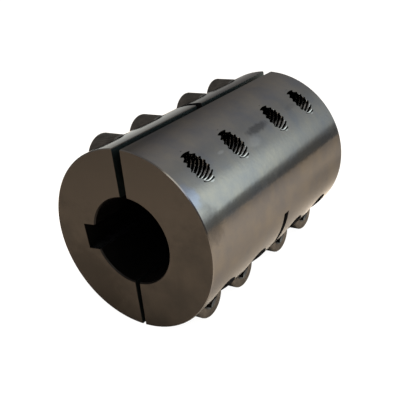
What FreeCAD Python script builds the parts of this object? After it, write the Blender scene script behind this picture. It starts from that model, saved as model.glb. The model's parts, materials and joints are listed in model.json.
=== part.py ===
import FreeCAD, Part
import math
import os
from FreeCAD import Vector

# A split sleeve coupling: two half sleeves drawn together round two shaft ends
# by eight socket head cap screws. The shafts lie along Y, the halves part along
# X, and the origin is on the shaft axis at the middle of the length.
# All sizes are in millimetres and all turns in degrees.

# the turned sleeve
outerDiameter = 42.0
boreDiameter = 20.0
sleeveLength = 65.0
outerChamfer = 0.2
boreChamfer = 0.3

# the split, which stands a little wider above than below
gapAbove = 2.2
gapBelow = 1.0

# the key seat, cut along the bore of the left half
keyWidth = 6.0
keySeatDepth = 2.8
keySeatTurn = 4.0

# the saw cut across each half, which lets each shaft end be clamped by itself
sawCutWidth = 2.2
sawCutStart = 4.1

# the M6 screws and where they stand along the sleeve
screwEndSpace = 8.6
screwSpacing = 14.3
screwThread = 6.0
threadPitch = 1.0
screwLength = 14.0
headDiameter = 10.0
headHeight = 6.0
headRimRound = 0.6
socketAcross = 5.0
socketDepth = 3.0
socketMouthChamfer = 0.4
tipChamfer = 0.8

# how the screws sit in the halves, with each seat measured from the middle plane
leftSeatDistance = 6.0
rightSeatDistance = 6.9
pocketDiameter = 11.0
clearanceHole = 6.6
seatEdgeChamfer = 0.3
threadRunningClearance = 0.05

# what is left of the split when the halves have closed, and of the shanks' way
closedGap = 0.1
shankPlay = 0.2

# how far a cutting shape runs past the sleeve's ends
cutPast = 1.0

outerRadius = outerDiameter / 2
boreRadius = boreDiameter / 2
halfLength = sleeveLength / 2
closingTravel = gapBelow - closedGap
# the screws stand in the middle of the sleeve's wall
screwHeight = (boreRadius + outerRadius) / 2
tapDrillRadius = (screwThread - threadPitch) / 2
coreRadius = tapDrillRadius - threadRunningClearance
cutLength = sleeveLength + 2 * cutPast
outside = outerDiameter
axisPoint = Vector(0, 0, 0)
alongY = Vector(0, 1, 0)
alongZ = Vector(0, 0, 1)
left = -1
right = 1
seatDistance = {left: leftSeatDistance, right: rightSeatDistance}


def cylinderAlongX(diameter, xStart, xEnd, y, z):
    """A round bar from xStart to xEnd, for holes and pockets square to the split."""
    low, high = min(xStart, xEnd), max(xStart, xEnd)
    return Part.makeCylinder(diameter / 2, high - low, Vector(low, y, z), Vector(1, 0, 0))


def blockAlongY(corners, width):
    """A prism whose outline lies in XZ, as wide as width about the middle of the length."""
    points = [Vector(x, -width / 2, z) for x, z in corners]
    face = Part.Face(Part.makePolygon(points + points[:1]))
    return face.extrude(alongY * width)


def halfGapAt(z):
    """From the middle plane to the split face, at height z."""
    share = (z + outerRadius) / outerDiameter
    return (gapBelow + (gapAbove - gapBelow) * share) / 2


def turnedSleeve():
    """The sleeve as it leaves the lathe, before it is sawn in two."""
    end = halfLength
    section = [
        (boreRadius + boreChamfer, -end),
        (outerRadius - outerChamfer, -end),
        (outerRadius, -end + outerChamfer),
        (outerRadius, end - outerChamfer),
        (outerRadius - outerChamfer, end),
        (boreRadius + boreChamfer, end),
        (boreRadius, end - boreChamfer),
        (boreRadius, -end + boreChamfer),
    ]
    points = [Vector(x, y, 0) for x, y in section]
    face = Part.Face(Part.makePolygon(points + points[:1]))
    return face.revolve(axisPoint, alongY, 360)


def sideOfTheSplit(side):
    """All the space on one side of the split, past the sleeve's outside."""
    corners = [
        (side * halfGapAt(outside), outside),
        (side * outside, outside),
        (side * outside, -outside),
        (side * halfGapAt(-outside), -outside),
    ]
    return blockAlongY(corners, cutLength)


def keySeat():
    """The slot for the key, turned about the shaft axis as the photograph shows it."""
    floor = boreRadius + keySeatDepth
    half = keyWidth / 2
    slot = blockAlongY([(-floor, half), (0, half), (0, -half), (-floor, -half)], cutLength)
    slot.rotate(axisPoint, alongY, -keySeatTurn)
    return slot


def sawCut(side):
    """The cut at mid length, on the side of the half that holds the screw heads."""
    outward = -side
    corners = [
        (0, outward * sawCutStart),
        (side * outside, outward * sawCutStart),
        (side * outside, outward * outside),
        (0, outward * outside),
    ]
    return blockAlongY(corners, sawCutWidth)


def screwPlaces():
    """Distances along Y of the four screws of a row, the nearest end first."""
    outer = halfLength - screwEndSpace
    inner = outer - screwSpacing
    return [-outer, -inner, inner, outer]


def headSideHole(side, y):
    """Pocket, seat and clearance hole where a screw's head sits in a half."""
    z = -side * screwHeight
    seat = side * seatDistance[side]
    pocket = cylinderAlongX(pocketDiameter, seat, side * outside, y, z)
    hole = cylinderAlongX(clearanceHole, 0, seat, y, z)
    edge = Part.makeCone(clearanceHole / 2 + seatEdgeChamfer, clearanceHole / 2, seatEdgeChamfer,
                         Vector(seat, y, z), Vector(-side, 0, 0))
    return pocket.fuse([hole, edge])


def threadSideHole(side, y):
    """The tapped hole, right through a half, at its tap drill size."""
    return cylinderAlongX(2 * tapDrillRadius, 0, side * outside, y, side * screwHeight)


def makeHalf(side):
    """One half sleeve, with screw heads on one side of the bore and threads on the other."""
    half = turnedSleeve().common(sideOfTheSplit(side))
    cuts = [sawCut(side)]
    for y in screwPlaces():
        cuts.append(headSideHole(side, y))
        cuts.append(threadSideHole(side, y))
    if side == left:
        cuts.append(keySeat())
    return half.cut(cuts).removeSplitter()


def hexagonCorner(across):
    """From the middle of a hexagon to its corners."""
    return across / 2 / math.cos(math.radians(30))


def hexagonBar(across, length):
    """A six sided bar that rises along Z from the origin."""
    corner = hexagonCorner(across)
    turns = [math.radians(60 * n) for n in range(7)]
    points = [Vector(corner * math.cos(turn), corner * math.sin(turn), 0) for turn in turns]
    return Part.Face(Part.makePolygon(points)).extrude(alongZ * length)


def socketCut():
    """The hexagon socket with its drilled bottom and chamfered mouth, for a head on Z."""
    floor = headHeight - socketDepth
    flat = socketAcross / 2
    drillPointDepth = flat * math.tan(math.radians(30))
    bar = hexagonBar(socketAcross, socketDepth)
    bar.translate(alongZ * floor)
    drillPoint = Part.makeCone(0, flat, drillPointDepth, alongZ * (floor - drillPointDepth))
    mouth = Part.makeCone(flat - socketMouthChamfer, flat + socketMouthChamfer,
                          2 * socketMouthChamfer, alongZ * (headHeight - 2 * socketMouthChamfer))
    return bar.fuse([drillPoint, mouth])


def standingScrew(side):
    """A socket head cap screw on Z, its seat at z = 0 and its head above.

    Its full shank stops just short of the other half when the halves have closed,
    and what is screwed into that half has the size of the thread's core."""
    headRadius = headDiameter / 2
    shankRadius = screwThread / 2
    pastMiddle = halfGapAt(-side * screwHeight) - closingTravel - shankPlay
    shankEnd = -seatDistance[side] - pastMiddle
    rimCentre = Vector(headRadius - headRimRound, 0, headHeight - headRimRound)
    rimStart = rimCentre + Vector(headRimRound, 0, 0)
    rimEnd = rimCentre + alongZ * headRimRound
    rimSlant = headRimRound * math.cos(math.radians(45))
    rimMiddle = rimCentre + Vector(rimSlant, 0, rimSlant)
    outline = [
        Vector(0, 0, headHeight),
        Vector(0, 0, -screwLength),
        Vector(coreRadius - tipChamfer / 2, 0, -screwLength),
        Vector(coreRadius, 0, -screwLength + tipChamfer),
        Vector(coreRadius, 0, shankEnd),
        Vector(shankRadius, 0, shankEnd),
        Vector(shankRadius, 0, 0),
        Vector(headRadius, 0, 0),
        rimStart,
    ]
    edges = [Part.makeLine(a, b) for a, b in zip(outline, outline[1:])]
    edges.append(Part.Arc(rimStart, rimMiddle, rimEnd).toShape())
    edges.append(Part.makeLine(rimEnd, outline[0]))
    body = Part.Face(Part.Wire(edges)).revolve(axisPoint, alongZ, 360)
    return body.cut(socketCut())


def placeScrew(side, y):
    """A screw whose head sits in the half on the given side, its tip in the other half."""
    screw = standingScrew(side)
    screw.rotate(axisPoint, alongY, side * 90)
    screw.translate(Vector(side * seatDistance[side], y, -side * screwHeight))
    return screw


def save(shape, name):
    solids = shape.Solids
    assert len(solids) == 1, f"{name} has {len(solids)} solids"
    solid = solids[0]
    assert solid.isValid(), f"{name} is not valid"
    solid.exportStep(f"parts/{name}.step")
    box = solid.BoundBox
    print(f"{name}: volume {solid.Volume:.1f}, x {box.XMin:.2f} {box.XMax:.2f}, "
          f"y {box.YMin:.2f} {box.YMax:.2f}, z {box.ZMin:.2f} {box.ZMax:.2f}")


os.makedirs("parts", exist_ok=True)
save(makeHalf(left), "left_half")
save(makeHalf(right), "right_half")
for number, place in enumerate(screwPlaces(), start=1):
    save(placeScrew(left, place), f"upper_screw_{number}")
    save(placeScrew(right, place), f"lower_screw_{number}")
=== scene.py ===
import json
import math
import bmesh
import bpy
from mathutils import Matrix, Quaternion, Vector


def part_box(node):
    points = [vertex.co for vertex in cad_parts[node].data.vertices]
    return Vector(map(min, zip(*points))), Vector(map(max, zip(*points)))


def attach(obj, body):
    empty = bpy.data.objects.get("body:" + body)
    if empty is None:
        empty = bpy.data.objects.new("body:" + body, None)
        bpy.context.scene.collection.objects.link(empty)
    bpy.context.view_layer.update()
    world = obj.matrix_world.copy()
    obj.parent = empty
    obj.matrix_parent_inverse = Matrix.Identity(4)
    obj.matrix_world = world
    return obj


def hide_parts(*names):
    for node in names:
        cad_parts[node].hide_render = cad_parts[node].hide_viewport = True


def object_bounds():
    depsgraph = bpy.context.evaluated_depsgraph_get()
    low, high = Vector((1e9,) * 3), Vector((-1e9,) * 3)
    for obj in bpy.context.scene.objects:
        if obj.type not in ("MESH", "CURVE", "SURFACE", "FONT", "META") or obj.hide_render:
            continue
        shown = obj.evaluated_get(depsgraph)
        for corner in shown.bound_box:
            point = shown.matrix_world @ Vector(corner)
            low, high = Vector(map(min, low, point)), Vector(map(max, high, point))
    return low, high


# Split sleeve coupling: two blackened half sleeves held together by eight cap screws.
# The shafts lie along Y, the halves part along X and Z points up.

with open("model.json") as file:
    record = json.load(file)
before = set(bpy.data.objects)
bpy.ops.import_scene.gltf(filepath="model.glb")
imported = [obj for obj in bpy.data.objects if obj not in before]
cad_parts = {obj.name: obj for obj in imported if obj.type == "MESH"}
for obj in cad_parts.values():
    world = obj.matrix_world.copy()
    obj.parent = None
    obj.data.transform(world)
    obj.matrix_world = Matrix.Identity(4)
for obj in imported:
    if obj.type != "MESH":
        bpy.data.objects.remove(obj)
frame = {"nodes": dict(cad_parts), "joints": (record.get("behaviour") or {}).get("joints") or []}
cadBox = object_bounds()
joints = {joint["name"]: joint for joint in frame["joints"]}
mm = 0.001  # the scene is in metres


def towards(azimuth, elevation):
    # a direction, in degrees from +Y towards +X and up from level
    turn, rise = math.radians(azimuth), math.radians(elevation)
    level = math.cos(rise)
    return Vector((math.sin(turn) * level, math.cos(turn) * level, math.sin(rise)))


photo = {
    "at": (88.75, -127.85, 62.67),  # mm, where the camera stood
    "azimuth": 144.02,
    "elevation": 23.04,
    "roll": -6.85,
    "lens": 60.45,        # mm, as the sensor's width
    "sensor": 36.0,
    "nearest": 5.0,       # mm, the closest thing that it sees
}


def placeCamera():
    back = towards(photo["azimuth"], photo["elevation"])
    rotation = back.to_track_quat("Z", "Y") @ Quaternion((0, 0, 1), math.radians(photo["roll"]))
    data = bpy.data.cameras.new("photoCamera")
    data.lens = photo["lens"]
    data.sensor_width = photo["sensor"]
    data.clip_start = photo["nearest"] * mm
    camera = bpy.data.objects.new("photoCamera", data)
    stand = Matrix.Translation(Vector(photo["at"]) * mm)
    camera.matrix_world = stand @ rotation.to_matrix().to_4x4()
    bpy.context.collection.objects.link(camera)
    bpy.context.scene.camera = camera


placeCamera()
print("camera placed")


# materials

# how far the tool marks are drawn out round the sleeve or along it
markStretch = {"turned": (0.03, 1, 0.03), "milled": (1, 0.04, 1)}
patchDetail = {"Detail": 4.0, "Roughness": 0.6}
stainOrLightDetail = {"Detail": 3.0, "Roughness": 0.6}
markDetail = {"Detail": 2.0}
# the part of a noise's range over which the tone and the roughness of a finish drift
patchRange = {"tone": (0.34, 0.66), "roughness": (0.3, 0.7)}
# a stain's or painted light patch's tatters in mm, and how far out it starts to fade and is gone
stainOrLightEdge = {"tatters": 1.5, "fades": 1.0, "gone": 1.7}


def fromHex(code):
    # sRGB hex to linear
    parts = [int(code[place:place + 2], 16) / 255 for place in (1, 3, 5)]
    linear = [part / 12.92 if part <= 0.04045 else ((part + 0.055) / 1.055) ** 2.4
              for part in parts]
    return (*linear, 1.0)


def addNode(tree, kind, settings=None, inputs=None):
    # inputs holds plain values, or sockets to link from; a mix node blends two numbers
    # in inputs 2 and 3 to output 0, and two colours in inputs 6 and 7 to output 2
    node = tree.nodes.new(kind)
    for name, value in (settings or {}).items():
        setattr(node, name, value)
    for name, value in (inputs or {}).items():
        if isinstance(value, bpy.types.NodeSocket):
            tree.links.new(value, node.inputs[name])
        else:
            node.inputs[name].default_value = value
    return node


def startMaterial(name):
    material = bpy.data.materials.new(name)
    material.use_nodes = True
    tree = material.node_tree
    tree.nodes.clear()
    place = addNode(tree, "ShaderNodeTexCoord").outputs["Object"]
    shader = addNode(tree, "ShaderNodeBsdfPrincipled")
    addNode(tree, "ShaderNodeOutputMaterial", inputs={"Surface": shader.outputs["BSDF"]})
    return material, tree, place, shader


def patternSize(sizeInMm):
    # a noise has about one blob in each unit of its scale
    return 1 / (sizeInMm * mm)


def markDirection(tree, place, cut):
    # what the tool marks follow: rings round the sleeve, lines along it, rings on its ends,
    # or nothing
    if cut in markStretch:
        return addNode(tree, "ShaderNodeMapping", inputs={
            "Vector": place, "Scale": markStretch[cut]}).outputs[0]
    if cut == "plain":
        return place
    flat = addNode(tree, "ShaderNodeMapping", inputs={"Vector": place, "Scale": (1, 0, 1)})
    radius = addNode(tree, "ShaderNodeVectorMath", {"operation": "LENGTH"}, {
        0: flat.outputs[0]})
    return addNode(tree, "ShaderNodeCombineXYZ", inputs={
        "X": radius.outputs["Value"]}).outputs[0]


def addStainOrPaintedLight(tree, place, stainOrPaintedLight, colour, roughness):
    # a soft, ragged spot of stain, or of painted light or shade, given by its middle, half
    # its extent along X, Y and Z in mm, its colour, its roughness and its strength
    middle, halves, stainOrLightColour, stainOrLightRoughness, strength = stainOrPaintedLight
    spot = addNode(tree, "ShaderNodeMapping", inputs={
        "Vector": place, "Location": [-at / half for at, half in zip(middle, halves)],
        "Scale": [patternSize(half) for half in halves]})
    ragged = addNode(tree, "ShaderNodeTexNoise", inputs={
        "Vector": place, "Scale": patternSize(stainOrLightEdge["tatters"]), **stainOrLightDetail})
    distance = addNode(tree, "ShaderNodeVectorMath", {"operation": "LENGTH"}, {
        0: spot.outputs["Vector"]})
    edge = addNode(tree, "ShaderNodeMath", {"operation": "ADD"}, {
        0: distance.outputs["Value"], 1: ragged.outputs["Fac"]})
    share = addNode(tree, "ShaderNodeMapRange", {"interpolation_type": "SMOOTHSTEP"}, {
        "Value": edge.outputs[0], "From Min": stainOrLightEdge["fades"], "From Max": stainOrLightEdge["gone"],
        "To Min": strength, "To Max": 0.0})
    tinted = addNode(tree, "ShaderNodeMix", {"data_type": "RGBA"}, {
        "Factor": share.outputs["Result"], 6: colour, 7: fromHex(stainOrLightColour)})
    dulled = addNode(tree, "ShaderNodeMix", inputs={
        "Factor": share.outputs["Result"], 2: roughness, 3: stainOrLightRoughness})
    return tinted.outputs[2], dulled.outputs[0]


def steelFinish(name, look):
    # bare or blackened steel: a metal whose colour and roughness drift in patches, with tool
    # marks and grain
    material, tree, place, shader = startMaterial(name)
    patches = addNode(tree, "ShaderNodeTexNoise", inputs={
        "Vector": place, "Scale": patternSize(look["patch"]), **patchDetail})
    low, high = patchRange["tone"]
    tone = addNode(tree, "ShaderNodeMapRange", inputs={
        "Value": patches.outputs["Fac"], "From Min": low, "From Max": high})
    colour = addNode(tree, "ShaderNodeMix", {"data_type": "RGBA"}, {
        "Factor": tone.outputs["Result"], 6: fromHex(look["light"]), 7: fromHex(look["dark"])})
    low, high = patchRange["roughness"]
    roughness = addNode(tree, "ShaderNodeMapRange", inputs={
        "Value": patches.outputs["Fac"], "From Min": low, "From Max": high,
        "To Min": look["roughness"][0], "To Max": look["roughness"][1]})
    stained = [colour.outputs[2], roughness.outputs["Result"]]
    for stainOrPaintedLight in look.get("stainsAndPaintedLight", []):
        stained = addStainOrPaintedLight(tree, place, stainOrPaintedLight, *stained)
    marks = addNode(tree, "ShaderNodeTexNoise", inputs={
        "Vector": markDirection(tree, place, look["cut"]),
        "Scale": patternSize(look["marks"]), **markDetail})
    grain = addNode(tree, "ShaderNodeTexNoise", inputs={
        "Vector": place, "Scale": patternSize(look["grain"]), **markDetail})
    markBump = addNode(tree, "ShaderNodeBump", inputs={
        "Height": marks.outputs["Fac"], "Strength": 1.0,
        "Distance": look["markDepth"] * mm})
    grainBump = addNode(tree, "ShaderNodeBump", inputs={
        "Height": grain.outputs["Fac"], "Strength": 1.0,
        "Distance": look["grainDepth"] * mm, "Normal": markBump.outputs["Normal"]})
    tree.links.new(stained[0], shader.inputs["Base Color"])
    tree.links.new(stained[1], shader.inputs["Roughness"])
    tree.links.new(grainBump.outputs["Normal"], shader.inputs["Normal"])
    shader.inputs["Metallic"].default_value = 1.0
    shader.inputs["Specular Tint"].default_value = (look["edge"], look["edge"], look["edge"], 1)
    return material


# the outside is ground and oil-blackened: a dark mirror of the room, with faint rings, oily patches
# and some painted light and shade; sizes and depths are in mm
groundSteel = {
    "light": "#595652",
    "dark": "#4e4e50",
    "edge": 0.5,         # the share of a bare metal's brightening at a glancing angle
    "roughness": (0.11, 0.15),
    "patch": 7.0,
    "cut": "turned",
    "marks": 0.5,        # between the rings, coarser than real ones so that they show
    "markDepth": 0.0025,
    "grain": 0.8,
    "grainDepth": 0.011,
    # darker and paler patches beside and between the tapped holes, a bluish patch at the near end
    # and painted highlights at the mouths of the four holes
    "stainsAndPaintedLight": [
        ((13.8, 0.8, 15.8), (1.2, 5.2, 1.2), "#2e2d2e", 0.25, 0.7),
        ((13.7, 18.3, 15.9), (0.9, 3.0, 0.9), "#2e2d2e", 0.25, 0.2),
        ((15.5, -3.6, 14.2), (1.4, 2.6, 1.4), "#6a6867", 0.25, 0.35),
        ((14.0, -15.3, 15.7), (0.4, 1.2, 0.6), "#8a8988", 0.2, 0.18),
        ((16.8, -31.6, 12.6), (2.4, 2.2, 3.4), "#565c6c", 0.15, 0.5),
        # painted highlights: paler patches at the lower lip of each tapped hole
        ((16.6, -23.5, 12.8), (0.5, 0.8, 0.5), "#858584", 0.3, 0.65),
        ((16.6, -9.2, 12.8), (0.45, 0.7, 0.45), "#7c7c7b", 0.3, 0.6),
        ((16.6, 10.0, 12.8), (0.45, 0.7, 0.45), "#7c7c7b", 0.3, 0.6),
        ((16.6, 24.3, 12.8), (0.45, 0.7, 0.45), "#7c7c7b", 0.3, 0.6),
        # painted shade: a dark band along the sleeve where the dark foot of the room is mirrored,
        # and a dark patch of it at the near end
        ((20.0, 13, 5.9), (3, 22, 1.4), "#2c2a28", 0.17, 0.45),
        ((19.8, -17, 6.9), (3, 13, 1.2), "#2c2a28", 0.17, 0.3),
        ((19.4, -30, 5.6), (3, 3.6, 4.6), "#33302e", 0.2, 0.45),
    ],
}
# the ends are faced on the lathe, duller than the outside; their darker colour is partly painted
# shade, for the shaded floor they mirror
facedSteel = {
    "light": "#35312d",
    "dark": "#2f2c29",
    "edge": 0.5,
    "roughness": (0.42, 0.52),
    "patch": 5.0,
    "cut": "faced",
    "marks": 0.35,
    "markDepth": 0.003,
    "grain": 0.4,
    "grainDepth": 0.003,
    # painted light and shade: the end is paler towards the top and darker low on the left, as the
    # floor it mirrors is lit and shaded
    "stainsAndPaintedLight": [
        ((-3, -32.5, 22), (34, 8, 24), "#37332f", 0.45, 0.9),
        ((-14, -32.5, -14), (11, 8, 12), "#272421", 0.45, 0.7),
    ],
}
# the bore keeps its boring marks and reflects almost nothing; its near-black colour is partly
# painted shade for the dark inside of the bore
boredSteel = {
    "light": "#1d1c1b",
    "dark": "#161515",
    "edge": 0.3,
    "roughness": (0.4, 0.55),
    "patch": 4.0,
    "cut": "turned",
    "marks": 0.3,
    "markDepth": 0.006,
    "grain": 0.4,
    "grainDepth": 0.003,
}
# the split faces are sawn and milled, and stay a little bluish under the oil
splitSteel = {
    "light": "#343d3e",
    "dark": "#262d2e",
    "edge": 0.8,
    "roughness": (0.42, 0.5),
    "patch": 3.0,
    "cut": "milled",
    "marks": 0.3,
    "markDepth": 0.006,
    "grain": 0.4,
    "grainDepth": 0.003,
}
# the saw cuts and the screw pockets are the dullest; their dark colour is partly painted shade in
# these recesses
milledSteel = {
    "light": "#26272a",
    "dark": "#1c1d1f",
    "edge": 0.4,
    "roughness": (0.5, 0.62),
    "patch": 3.0,
    "cut": "milled",
    "marks": 0.3,
    "markDepth": 0.006,
    "grain": 0.4,
    "grainDepth": 0.003,
}
# the tap cut the blackening off the crests of the threads, which shine
crestSteel = {
    "light": "#7d7c7b",
    "dark": "#615f5e",
    "edge": 0.9,
    "roughness": (0.16, 0.24),
    "patch": 1.5,
    "cut": "plain",
    "marks": 0.3,
    "markDepth": 0.001,
    "grain": 0.3,
    "grainDepth": 0.002,
}
# painted shade: the grooves between them are dark
tappedSteel = {
    "light": "#1f1e1e",
    "dark": "#171616",
    "edge": 0.5,
    "roughness": (0.2, 0.3),
    "patch": 1.5,
    "cut": "plain",
    "marks": 0.3,
    "markDepth": 0.001,
    "grain": 0.3,
    "grainDepth": 0.002,
}
# the screws have the even satin black of tempered and oiled fasteners
screwSteel = {
    "light": "#4a4744",
    "dark": "#3b3937",
    "edge": 0.6,
    "roughness": (0.28, 0.4),
    "patch": 2.0,
    "cut": "plain",
    "marks": 0.4,
    "markDepth": 0.002,
    "grain": 0.25,
    "grainDepth": 0.004,
}
finishes = {
    "bored": steelFinish("blackened_bored_steel", boredSteel),
    "ground": steelFinish("oil_blackened_ground_steel", groundSteel),
    "faced": steelFinish("oil_blackened_faced_steel", facedSteel),
    "tapped": steelFinish("thread_groove_painted_shade", tappedSteel),
    "crest": steelFinish("fresh_cut_steel", crestSteel),
    "milled": steelFinish("blackened_milled_steel", milledSteel),
    "split": steelFinish("oiled_sawn_steel", splitSteel),
}
screwFinish = steelFinish("black_oxide_screw_steel", screwSteel)
print("materials made")


# the M6 thread

thread = {
    "pitch": 1.0,
    "flank": 30,          # degrees, half of the thread's angle
    "steps": 32,          # straight stretches in a turn
    "tapRoot": 3.01,      # radius at the bottom of the tapped groove
    "tapFlat": 1 / 8,     # its width, in pitches
    "tapCrest": 2.7,      # the flanks shine from the crests out to this radius
    "tapMouth": 2.45,     # the tap's teeth start inside the 5 mm hole
    "screwCrest": 2.95,
    "screwRoot": 2.4,
    "dieFlat": 1 / 4,     # the width of the screw's root, in pitches
    "dieMouth": 3.15,     # the die's teeth start outside the crest
    "tapReach": (-22.92, -3.92),   # mm along the screw, from its seat
    "dieReach": (-14.42, -1.42),   # half a pitch out of step, so crests lie in grooves
}


def helixTooth(name, radii, flatRadius, flatShare, reach):
    # a 60 degree tooth wound right-handed up the Z axis, as a closed solid; its flat is
    # flatShare of the pitch wide at flatRadius
    flat = thread["pitch"] * flatShare / 2
    slope = math.tan(math.radians(thread["flank"]))
    sides = [(radius, flat + abs(radius - flatRadius) * slope) for radius in radii]
    corners = [(radius, -half) for radius, half in sides]
    corners += [(radius, half) for radius, half in reversed(sides)]
    bm = bmesh.new()
    verts = [bm.verts.new(Vector((x, 0, reach[0] + z)) * mm) for x, z in corners]
    face = bm.faces.new(verts)
    steps = round((reach[1] - reach[0]) / thread["pitch"] * thread["steps"])
    rise = thread["pitch"] / thread["steps"] * mm
    bmesh.ops.spin(bm, geom=[face] + face.edges[:] + verts, cent=(0, 0, 0), axis=(0, 0, 1),
                   dvec=(0, 0, rise), angle=math.tau * steps / thread["steps"], steps=steps,
                   use_merge=False, use_normal_flip=False, use_duplicate=False)
    bmesh.ops.recalc_face_normals(bm, faces=bm.faces)
    mesh = bpy.data.meshes.new(name)
    bm.to_mesh(mesh)
    bm.free()
    return mesh


def newObject(name, mesh):
    thing = bpy.data.objects.new(name, mesh)
    bpy.context.collection.objects.link(thing)
    return thing


def cutAway(mesh, cutter):
    # takes the cutter out of the mesh and returns what is left
    target = newObject("cutTarget", mesh)
    tool = newObject("cutTool", cutter)
    modifier = target.modifiers.new("cut", "BOOLEAN")
    modifier.solver = "EXACT"
    modifier.operation = "DIFFERENCE"
    modifier.object = tool
    bpy.context.view_layer.update()
    graph = bpy.context.evaluated_depsgraph_get()
    made = bpy.data.meshes.new_from_object(target.evaluated_get(graph))
    bpy.data.objects.remove(target)
    bpy.data.objects.remove(tool)
    return made


# the cap screws, all alike, with their seat at z = 0 and their head above; sizes in mm

screwNumbers = (1, 2, 3, 4)   # in each row, the nearest end first
capScrew = {
    "segments": 120,
    "headRadius": 5.0,
    "headHeight": 6.0,
    "knurlDepth": 0.12,     # 60 ridges round the head
    "knurlTop": 5.0,
    "footRound": 0.25,
    "rimRound": 0.6,
    "rimSteps": 4,
    "socketMouth": 2.9,
    "socketFlat": 2.5,      # from the middle to a flat of the hexagon
    "socketFloor": 3.0,
    "drillPoint": 1.6,
    "drillStep": 0.05,      # between the drilled cone and the flats
    "drillTip": 0.1,
    "length": 14.0,
    "tip": 0.8,
    "sharpAngle": 30,
}


def hexagonRadius(turn):
    # how far out the socket's side is
    return capScrew["socketFlat"] / math.cos(turn % (math.pi / 3) - math.pi / 6)


def screwRings():
    # each ring gives radius and height at a turn round the screw, from the screw's tip
    # up its outside and down to the drill point in the socket
    head, top, rim = capScrew["headRadius"], capScrew["headHeight"], capScrew["rimRound"]
    crest, tip, foot = thread["screwCrest"], capScrew["tip"], capScrew["footRound"]
    mouth, floor = capScrew["socketMouth"], capScrew["socketFloor"]
    knurl = math.tau / capScrew["segments"]

    def knurled(turn):
        return head - capScrew["knurlDepth"] * (round(turn / knurl) % 2)

    rings = [lambda t: (crest - tip, -capScrew["length"]),
             lambda t: (crest, tip - capScrew["length"]),
             lambda t: (crest, 0), lambda t: (head - foot, 0),
             lambda t: (knurled(t), foot), lambda t: (knurled(t), capScrew["knurlTop"])]
    for step in range(capScrew["rimSteps"] + 1):
        lean = math.radians(step * 90 / capScrew["rimSteps"])
        rings.append(lambda t, lean=lean: (head - rim + rim * math.cos(lean),
                                           top - rim + rim * math.sin(lean)))
    rings.append(lambda t: (mouth, top))
    rings.append(lambda t: (hexagonRadius(t), top - mouth + hexagonRadius(t)))
    rings.append(lambda t: (hexagonRadius(t), floor))
    rings.append(lambda t: (capScrew["socketFlat"] - capScrew["drillStep"], floor))
    rings.append(lambda t: (capScrew["drillTip"], capScrew["drillPoint"]))
    return rings


def screwMesh():
    bm = bmesh.new()
    verts = bmesh.ops.create_circle(
        bm, cap_ends=False, segments=capScrew["segments"], radius=1)["verts"]
    edges = bm.edges[:]
    for number, ring in enumerate(screwRings()):
        if number:
            grown = bmesh.ops.extrude_edge_only(bm, edges=edges)["geom"]
            verts = [part for part in grown if isinstance(part, bmesh.types.BMVert)]
            edges = [part for part in grown if isinstance(part, bmesh.types.BMEdge)]
        for vert in verts:
            turn = math.atan2(vert.co.y, vert.co.x) % math.tau
            radius, height = ring(turn)
            vert.co = Vector((radius * math.cos(turn), radius * math.sin(turn), height)) * mm
    bmesh.ops.holes_fill(bm, edges=[edge for edge in bm.edges if edge.is_boundary], sides=0)
    bmesh.ops.recalc_face_normals(bm, faces=bm.faces)
    mesh = bpy.data.meshes.new("capScrew")
    bm.to_mesh(mesh)
    bm.free()
    die = helixTooth("die", (thread["screwRoot"], thread["dieMouth"]), thread["screwRoot"],
                     thread["dieFlat"], thread["dieReach"])
    mesh = cutAway(mesh, die)
    mesh.materials.clear()
    mesh.materials.append(screwFinish)
    for face in mesh.polygons:
        face.use_smooth = True
    mesh.set_sharp_from_angle(angle=math.radians(capScrew["sharpAngle"]))
    return mesh


def screwPlace(name):
    # from the standing screw to where its joint and its CAD solid say it sits
    joint = joints[name + "_turn"]
    low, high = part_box(name)
    inward = joint["axis"][0]
    headFace = low.x if inward > 0 else high.x
    seatFace = headFace + inward * capScrew["headHeight"] * mm
    seat = Vector((seatFace, joint["pos_m"][1], joint["pos_m"][2]))
    turn = Quaternion((0, 1, 0), math.radians(-90 * inward))
    return Matrix.Translation(seat) @ turn.to_matrix().to_4x4()


def makeScrews():
    standing = screwMesh()
    for row in ("upper", "lower"):
        for number in screwNumbers:
            name = f"{row}_screw_{number}"
            mesh = standing.copy()
            mesh.transform(screwPlace(name))
            screw = newObject(name + "_threaded", mesh)
            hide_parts(name)
            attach(screw, name)
    print("screws made,", len(standing.polygons), "faces each")


makeScrews()


# the two half sleeves

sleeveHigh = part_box("right_half")[1]
halfSleeve = {
    "halfLength": sleeveHigh.y,
    "tapWidth": 3.1 * mm,    # what lies this near a tapped hole's axis is thread
    "endReach": 0.1 * mm,    # what faces along Y this near the end is the end
    "splitReach": 2 * mm,    # and what faces along X this near the middle is the split
    "edgeReach": 1 * mm,     # the split's outer edges are this near the top and the bottom
    "edgeBroken": 0.2 * mm,
    "barLength": 2.1,        # of the bars that break them, in half lengths
    "along": 0.99,           # a face looks along an axis with this much of its normal on it
    "across": 0.1,           # and across it with less than this
    "endLean": 0.2,          # a face that looks out from the Y axis less than this isn't turned
    "turned": 0.998,         # how straight a turned face looks out from the Y axis, or in
    "mergeWithin": 0.0005 * mm,
    "flatWithin": 0.2,       # degrees
    "sharpAngle": 30,
}


def mergedNode(node):
    # the CAD mesh of a node, with its triangles joined to flat faces
    bm = bmesh.new()
    bm.from_mesh(frame["nodes"][node].data)
    bmesh.ops.remove_doubles(bm, verts=bm.verts, dist=halfSleeve["mergeWithin"])
    bmesh.ops.dissolve_limit(bm, angle_limit=math.radians(halfSleeve["flatWithin"]),
                             verts=bm.verts, edges=bm.edges)
    mesh = bpy.data.meshes.new(node + "Merged")
    bm.to_mesh(mesh)
    bm.free()
    return mesh


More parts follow.
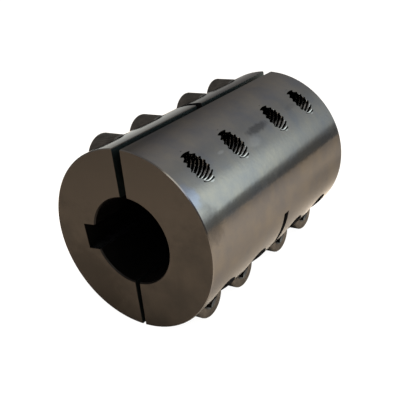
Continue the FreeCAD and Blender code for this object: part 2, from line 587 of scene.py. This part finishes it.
def edgeFiles(half):
    # bars on the diagonal that break the sawn edges of a half, above and below the bore
    bm = bmesh.new()
    width = halfSleeve["edgeBroken"] * math.sqrt(2)
    length = halfSleeve["barLength"] * halfSleeve["halfLength"]
    size = Matrix.Diagonal((width, length, width, 1))
    turn = Matrix.Rotation(math.radians(45), 4, "Y")
    for side in (-1, 1):
        corners = [vert.co for vert in half.vertices
                   if abs(vert.co.x) < halfSleeve["splitReach"]
                   and side * vert.co.z > sleeveHigh.z - halfSleeve["edgeReach"]]
        edge = max(corners, key=lambda corner: math.hypot(corner.x, corner.z))
        stand = Matrix.Translation((edge.x, 0, edge.z))
        bmesh.ops.create_cube(bm, size=1, matrix=stand @ turn @ size)
    return bm


def cuttersFor(half, rowOfTips):
    # all that is cut from a half: its broken edges and the threads of its tapped holes
    bm = edgeFiles(half)
    radii = (thread["tapMouth"], thread["tapCrest"], thread["tapRoot"])
    for number in screwNumbers:
        tap = helixTooth("tap", radii, thread["tapRoot"], thread["tapFlat"], thread["tapReach"])
        tap.transform(screwPlace(f"{rowOfTips}_screw_{number}"))
        bm.from_mesh(tap)
    mesh = bpy.data.meshes.new("cutters")
    bm.to_mesh(mesh)
    bm.free()
    return mesh


def turnedFacing(face):
    # 1 on a face turned on the lathe outside, -1 in the bore, else 0
    radius = math.hypot(face.center.x, face.center.z)
    lean = math.hypot(face.normal.x, face.normal.z)
    if lean < halfSleeve["endLean"]:
        return 0
    across = face.center.x * face.normal.x + face.center.z * face.normal.z
    facing = across / (radius * lean)
    return round(facing) if abs(facing) > halfSleeve["turned"] else 0


def finishHalf(mesh, rowOfTips):
    # a finish for each surface, and exact normals where it was turned
    mesh.materials.clear()
    slots = list(finishes)
    for finish in finishes.values():
        mesh.materials.append(finish)
    axes = [joints[f"{rowOfTips}_screw_{number}_turn"]["pos_m"] for number in screwNumbers]
    facings = {}
    for face in mesh.polygons:
        face.use_smooth = True
        facing = turnedFacing(face)
        centre = face.center
        fromTap = min(math.hypot(centre.y - y, centre.z - z) for x, y, z in axes)
        fromEnd = halfSleeve["halfLength"] - abs(centre.y)
        nearSplit = abs(centre.x) < halfSleeve["splitReach"]
        if facing:
            facings[face.index] = facing
            finish = "ground" if facing > 0 else "bored"
        elif abs(face.normal.y) > halfSleeve["along"] and fromEnd < halfSleeve["endReach"]:
            finish = "faced"
        elif fromTap < halfSleeve["tapWidth"]:
            finish = "crest" if fromTap < thread["tapCrest"] * mm else "tapped"
        elif abs(face.normal.x) > halfSleeve["along"] and nearSplit:
            finish = "split"
        elif abs(face.normal.y) < halfSleeve["across"] and nearSplit:
            finish = "ground"
        else:
            finish = "milled"
        face.material_index = slots.index(finish)
    mesh.set_sharp_from_angle(angle=math.radians(halfSleeve["sharpAngle"]))
    normals = [Vector(corner.vector) for corner in mesh.corner_normals]
    for number, facing in facings.items():
        face = mesh.polygons[number]
        lean = facing * math.hypot(face.normal.x, face.normal.z)
        for corner in face.loop_indices:
            place = mesh.vertices[mesh.loops[corner].vertex_index].co
            radius = math.hypot(place.x, place.z)
            normals[corner] = Vector(
                (lean * place.x / radius, face.normal.y, lean * place.z / radius))
    mesh.normals_split_custom_set([normal.normalized() for normal in normals])


def makeHalf(node, rowOfTips):
    whole = mergedNode(node)
    mesh = cutAway(whole, cuttersFor(whole, rowOfTips))
    finishHalf(mesh, rowOfTips)
    half = newObject(node + "_sleeve", mesh)
    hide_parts(node)
    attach(half, node)
    print(node, "made,", len(mesh.polygons), "faces")


makeHalf("left_half", "lower")
makeHalf("right_half", "upper")


# studio

studio = {
    "floor": "#f5ebdf",
    "floorRadius": 260.0,
    "floorSides": 96,
    "floorRoughness": 0.9,
    "floorFade": (50.0, 210.0, 0.6),    # mm from the middle, and the light its edge keeps
    # painted shade: the card is darker beside the far end, and away on the right
    "floorShades": [
        ((14, 64, -21), (30, 34, 10), "#a89c8c", 0.9, 0.5),
        ((140, 5, -21), (60, 60, 10), "#3f3c38", 0.9, 0.8),
    ],
    "window": (50.0, 15.0),      # azimuth and elevation
    # the room's brightness at each angle from the window's middle
    "room": [(0, (4.6, 5.2, 5.1)), (14, (4.3, 4.85, 4.8)), (22, (2.15, 2.38, 2.45)),
             (32, (1.62, 1.74, 1.8)), (40, (1.32, 1.38, 1.4)), (52, (1.38, 1.39, 1.4)),
             (62, (1.22, 1.2, 1.18)), (71, (0.95, 0.9, 0.86)), (80, (0.48, 0.46, 0.44)),
             (95, (0.75, 0.72, 0.68)), (180, (0.66, 0.6, 0.55))],
    "skirting": (0.33, 0.32, 0.305),  # the dark foot of the room, just above the floor
    "skirtingShare": 0.24,       # and what it takes from the window above it
    "skirtingTop": (0.4, 4.0),   # degrees over which it gives way to the room
    "skirtingLean": -1.5,        # and how far its edge leans, highest towards +X
    # a doorway on the left, and a ceiling lamp behind the camera that only edges mirror;
    # each fades in from the first to the second angle from its middle
    "openings": [
        {"towards": (-60, 5), "fade": (27, 6), "light": (1.5, 1.56, 1.48)},
        {"towards": (145, 42), "fade": (20, 8), "light": (3.4, 3.3, 3.0)},
    ],
    "lamp": (60.0, 62.0),        # lights the card, and no glint of it shows in the metal
    "lampPower": 7.3,
    "lampSize": 50.0,
    "lampColour": (1.0, 0.9, 0.79),
    "shadowShare": 0.12,         # how much of the shadow on the card the camera sees
    "backdrop": 1.1,             # what the camera sees past the floor
}


def makeFloor():
    bm = bmesh.new()
    bmesh.ops.create_circle(bm, cap_ends=True, segments=studio["floorSides"],
                            radius=studio["floorRadius"] * mm)
    mesh = bpy.data.meshes.new("studioFloor")
    bm.to_mesh(mesh)
    bm.free()
    mesh.transform(Matrix.Translation((0, 0, cadBox[0].z)))
    floor = newObject("studioFloor", mesh)
    material, tree, place, shader = startMaterial("matt_white_card")
    start, end, kept = studio["floorFade"]
    distance = addNode(tree, "ShaderNodeVectorMath", {"operation": "LENGTH"}, {0: place})
    fade = addNode(tree, "ShaderNodeMapRange", {"interpolation_type": "SMOOTHSTEP"}, {
        "Value": distance.outputs["Value"], "From Min": start * mm, "From Max": end * mm})
    card = Vector(fromHex(studio["floor"])[:3])
    colour = addNode(tree, "ShaderNodeMix", {"data_type": "RGBA"}, {
        "Factor": fade.outputs["Result"], 6: (*card, 1), 7: (*(card * kept), 1)})
    shaded = [colour.outputs[2], studio["floorRoughness"]]
    for shade in studio["floorShades"]:
        shaded = addStainOrPaintedLight(tree, place, shade, *shaded)
    tree.links.new(shaded[0], shader.inputs["Base Color"])
    tree.links.new(shaded[1], shader.inputs["Roughness"])
    shader.inputs["Specular IOR Level"].default_value = 0.0
    white = addNode(tree, "ShaderNodeEmission", inputs={"Strength": studio["backdrop"]})
    paler = addNode(tree, "ShaderNodeMixShader", inputs={
        "Fac": studio["shadowShare"], 1: white.outputs[0], 2: shader.outputs["BSDF"]})
    seen = addNode(tree, "ShaderNodeLightPath").outputs["Is Camera Ray"]
    both = addNode(tree, "ShaderNodeMixShader", inputs={
        "Fac": seen, 1: shader.outputs["BSDF"], 2: paler.outputs[0]})
    tree.links.new(both.outputs[0], tree.nodes["Material Output"].inputs["Surface"])
    floor.data.materials.append(material)


def makeWorld():
    world = bpy.data.worlds.new("studioWorld")
    bpy.context.scene.world = world
    world.use_nodes = True
    tree = world.node_tree
    tree.nodes.clear()
    direction = addNode(tree, "ShaderNodeTexCoord").outputs["Generated"]
    toWindow = addNode(tree, "ShaderNodeVectorMath", {"operation": "DOT_PRODUCT"}, {
        0: direction, 1: towards(*studio["window"])})
    angle = addNode(tree, "ShaderNodeMath", {"operation": "ARCCOSINE"}, {
        0: toWindow.outputs["Value"]})
    share = addNode(tree, "ShaderNodeMath", {"operation": "DIVIDE"}, {
        0: angle.outputs[0], 1: math.pi})
    ramp = addNode(tree, "ShaderNodeValToRGB", inputs={"Fac": share.outputs[0]})
    stops = ramp.color_ramp.elements
    for number, (degrees, colour) in enumerate(studio["room"]):
        if number == 0 or number == len(studio["room"]) - 1:
            stop = stops[0] if number == 0 else stops[len(stops) - 1]
            stop.position = degrees / 180
        else:
            stop = stops.new(degrees / 180)
        stop.color = (*colour, 1)
    height = addNode(tree, "ShaderNodeVectorMath", {"operation": "DOT_PRODUCT"}, {
        0: direction, 1: towards(90, 90 - studio["skirtingLean"])})
    low, high = (math.sin(math.radians(degrees)) for degrees in studio["skirtingTop"])
    above = addNode(tree, "ShaderNodeMapRange", {"interpolation_type": "SMOOTHSTEP"}, {
        "Value": height.outputs["Value"], "From Min": low, "From Max": high})
    glow = addNode(tree, "ShaderNodeVectorMath", {"operation": "SCALE"}, {
        0: ramp.outputs["Color"], "Scale": studio["skirtingShare"]})
    skirting = addNode(tree, "ShaderNodeVectorMath", {"operation": "ADD"}, {
        0: glow.outputs["Vector"], 1: studio["skirting"]})
    room = addNode(tree, "ShaderNodeMix", {"data_type": "RGBA"}, {
        "Factor": above.outputs["Result"], 6: skirting.outputs["Vector"], 7: ramp.outputs["Color"]})
    glowing = room.outputs[2]
    for opening in studio["openings"]:
        toOpening = addNode(tree, "ShaderNodeVectorMath", {"operation": "DOT_PRODUCT"}, {
            0: direction, 1: towards(*opening["towards"])})
        far, near = (math.cos(math.radians(degrees)) for degrees in opening["fade"])
        inside = addNode(tree, "ShaderNodeMapRange", {"interpolation_type": "SMOOTHSTEP"}, {
            "Value": toOpening.outputs["Value"], "From Min": far, "From Max": near})
        light = addNode(tree, "ShaderNodeVectorMath", {"operation": "SCALE"}, {
            0: opening["light"], "Scale": inside.outputs["Result"]})
        glowing = addNode(tree, "ShaderNodeVectorMath", {"operation": "ADD"}, {
            0: glowing, 1: light.outputs["Vector"]}).outputs["Vector"]
    lit = addNode(tree, "ShaderNodeBackground", inputs={"Color": glowing})
    white = addNode(tree, "ShaderNodeBackground", inputs={
        "Color": (1, 1, 1, 1), "Strength": studio["backdrop"]})
    seen = addNode(tree, "ShaderNodeLightPath").outputs["Is Camera Ray"]
    both = addNode(tree, "ShaderNodeMixShader", inputs={
        "Fac": seen, 1: lit.outputs["Background"], 2: white.outputs["Background"]})
    addNode(tree, "ShaderNodeOutputWorld", inputs={"Surface": both.outputs["Shader"]})


def makeLamp():
    data = bpy.data.lights.new("softOverhead", "SUN")
    data.energy = studio["lampPower"]
    data.angle = math.radians(studio["lampSize"])
    data.color = studio["lampColour"]
    light = bpy.data.objects.new("softOverhead", data)
    light.visible_glossy = False
    light.rotation_mode = "QUATERNION"
    light.rotation_quaternion = towards(*studio["lamp"]).to_track_quat("Z", "Y")
    bpy.context.collection.objects.link(light)


makeFloor()
makeWorld()
makeLamp()
bpy.context.scene.view_settings.view_transform = "Standard"
print("studio made")
